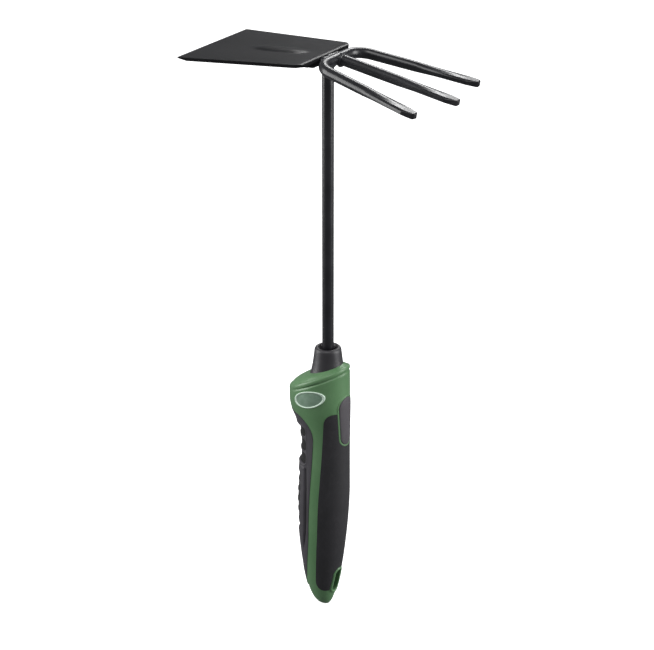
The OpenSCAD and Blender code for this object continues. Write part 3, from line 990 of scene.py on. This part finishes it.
def badge_ring(scale, inset, count=72):
    ring = []
    for k in range(count):
        a = 2 * math.pi * k / count
        u, v = 12.2 * scale * math.cos(a), 6.2 * scale * math.sin(a)
        x, z = -4.6 + u * math.cos(TILT) - v * math.sin(TILT), 167 + u * math.sin(TILT) + v * math.cos(TILT)
        ring.append(level(z, -angle_at_x(z, x), inset))
    return ring


bm = bmesh.new()
BADGE_STEPS = [(1.0, 1.5), (1.0, -0.05), (0.99, -0.3), (0.965, -0.48), (0.93, -0.52), (0.895, -0.46),
               (0.87, -0.3), (0.858, -0.08), (0.84, -0.04), (0.7, -0.12), (0.5, -0.2), (0.3, -0.25),
               (0.06, -0.27)]
tube(bm, [badge_ring(*step) for step in BADGE_STEPS])


def badge_finish():
    r = Recipe("badge enamel")
    centre = Matrix.Rotation(TILT, 3, "Y") @ Vector((AXIS_X - 0.0046, 0, 0.167))
    spot = r.add("ShaderNodeMapping", None, {0: r.place, 1: tuple(-c for c in centre), 2: (0, TILT, 0)})
    u = r.add("ShaderNodeSeparateXYZ", None, {0: spot}, out="X")
    v = r.add("ShaderNodeSeparateXYZ", None, {0: spot}, out="Z")
    u, v = u * 1000, v * 1000
    rim = (u / 12.2) ** 2 + (v / 6.2) ** 2
    grit = r.noise(2200, 3.0, 0.6)
    cloud = r.noise(260, 4.0, 0.6)
    field = r.mix(cloud, shade(88, 118, 94), shade(138, 160, 144))
    colour = r.mix(r.ramp(rim, 0.68, 0.74), field, shade(204, 224, 207))
    colour = r.mix(grit * 0.14, colour, shade(150, 176, 154))
    return r.finish(colour, 0.3 + cloud * 0.12, grit * 0.4, 0.00008, IOR=1.5)


finished("oval_badge", bm, badge_finish(), ["badge"], 55)

# %% [markdown]
# ## The studio
# The tool stands on a wide white floor in soft light. A large lamp on each side draws the
# bright edges on the rod and the grip, one lamp behind glances along the tines' flat
# tips, and the sky fills in the rest. The camera stands off to the handle's left, a
# little above it, with a long lens.

# %% floor, light and camera
scene = bpy.context.scene
bm = bmesh.new()
bmesh.ops.create_grid(bm, x_segments=1, y_segments=1, size=6)
floor_mesh = bpy.data.meshes.new("floor")
bm.to_mesh(floor_mesh)
bm.free()
floor = bpy.data.objects.new("floor", floor_mesh)
floor.location.z = -0.0002
scene.collection.objects.link(floor)
r = Recipe("studio white")
floor_tone = r.mix(r.noise(6, 2.0, 0.5), (0.70, 0.70, 0.70, 1), (0.74, 0.74, 0.74, 1))
floor_mesh.materials.append(r.finish(floor_tone, 0.9))
r.shader.inputs["Emission Color"].default_value = (1, 1, 1, 1)
r.shader.inputs["Emission Strength"].default_value = 0.82
r.shader.inputs["Specular IOR Level"].default_value = 0.0
floor.visible_diffuse = floor.visible_glossy = False
floor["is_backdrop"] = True

sky = bpy.data.worlds.new("sky")
scene.world = sky
sky.use_nodes = True
nodes, links = sky.node_tree.nodes, sky.node_tree.links
seen = nodes["Background"]
seen.inputs[0].default_value, seen.inputs[1].default_value = (1, 1, 1, 1), 1.05
lit = nodes.new("ShaderNodeBackground")
lit.inputs[0].default_value, lit.inputs[1].default_value = (0.94, 0.96, 1, 1), 0.20
choose, eye = nodes.new("ShaderNodeMixShader"), nodes.new("ShaderNodeLightPath")
links.new(eye.outputs["Is Camera Ray"], choose.inputs[0])
links.new(lit.outputs[0], choose.inputs[1])
links.new(seen.outputs[0], choose.inputs[2])
links.new(choose.outputs[0], nodes["World Output"].inputs[0])

TARGET = Vector((AXIS_X, 0, 0.2175))


def lamp(name, azimuth, elevation, distance, width, height, power, tint=(1, 1, 1), aim=TARGET):
    """A soft rectangular lamp, placed by azimuth round the tool and elevation above it."""
    a, e = math.radians(azimuth), math.radians(elevation)
    way = Vector((math.sin(a) * math.cos(e), -math.cos(a) * math.cos(e), math.sin(e)))
    light = bpy.data.lights.new(name, "AREA")
    light.shape, light.size, light.size_y = "RECTANGLE", width, height
    light.energy, light.color = power, tint
    thing = bpy.data.objects.new(name, light)
    thing.location = aim + way * distance
    thing.rotation_mode = "QUATERNION"
    thing.rotation_quaternion = way.to_track_quat("Z", "Y")
    scene.collection.objects.link(thing)


lamp("left lamp", -60, 12, 1.6, 0.9, 1.5, 27)
lamp("right lamp", 112, 14, 1.6, 0.9, 1.5, 33)
lamp("back lamp", 203, 41, 1.9, 0.8, 0.4, 15)
lamp("front lamp", 15, 58, 2.0, 1.2, 1.0, 19)

camera = bpy.data.cameras.new("camera")
camera.lens, camera.sensor_width = 125.9, 36
camera.shift_x = -0.0015
camera.clip_start, camera.clip_end = 0.05, 50
eye_at = bpy.data.objects.new("camera", camera)
back_way = Vector((0.5002, -0.7703, 0.3955)).normalized()
eye_at.location = TARGET + back_way * 1.56
eye_at.rotation_mode = "QUATERNION"
eye_at.rotation_quaternion = back_way.to_track_quat("Z", "Y")
scene.collection.objects.link(eye_at)
scene.camera = eye_at
scene.view_settings.view_transform = "Standard"
scene.view_settings.look = "None"

# %% sizes and finish
low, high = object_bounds()
print("visual box", [round(v, 4) for v in (*low, *high)])
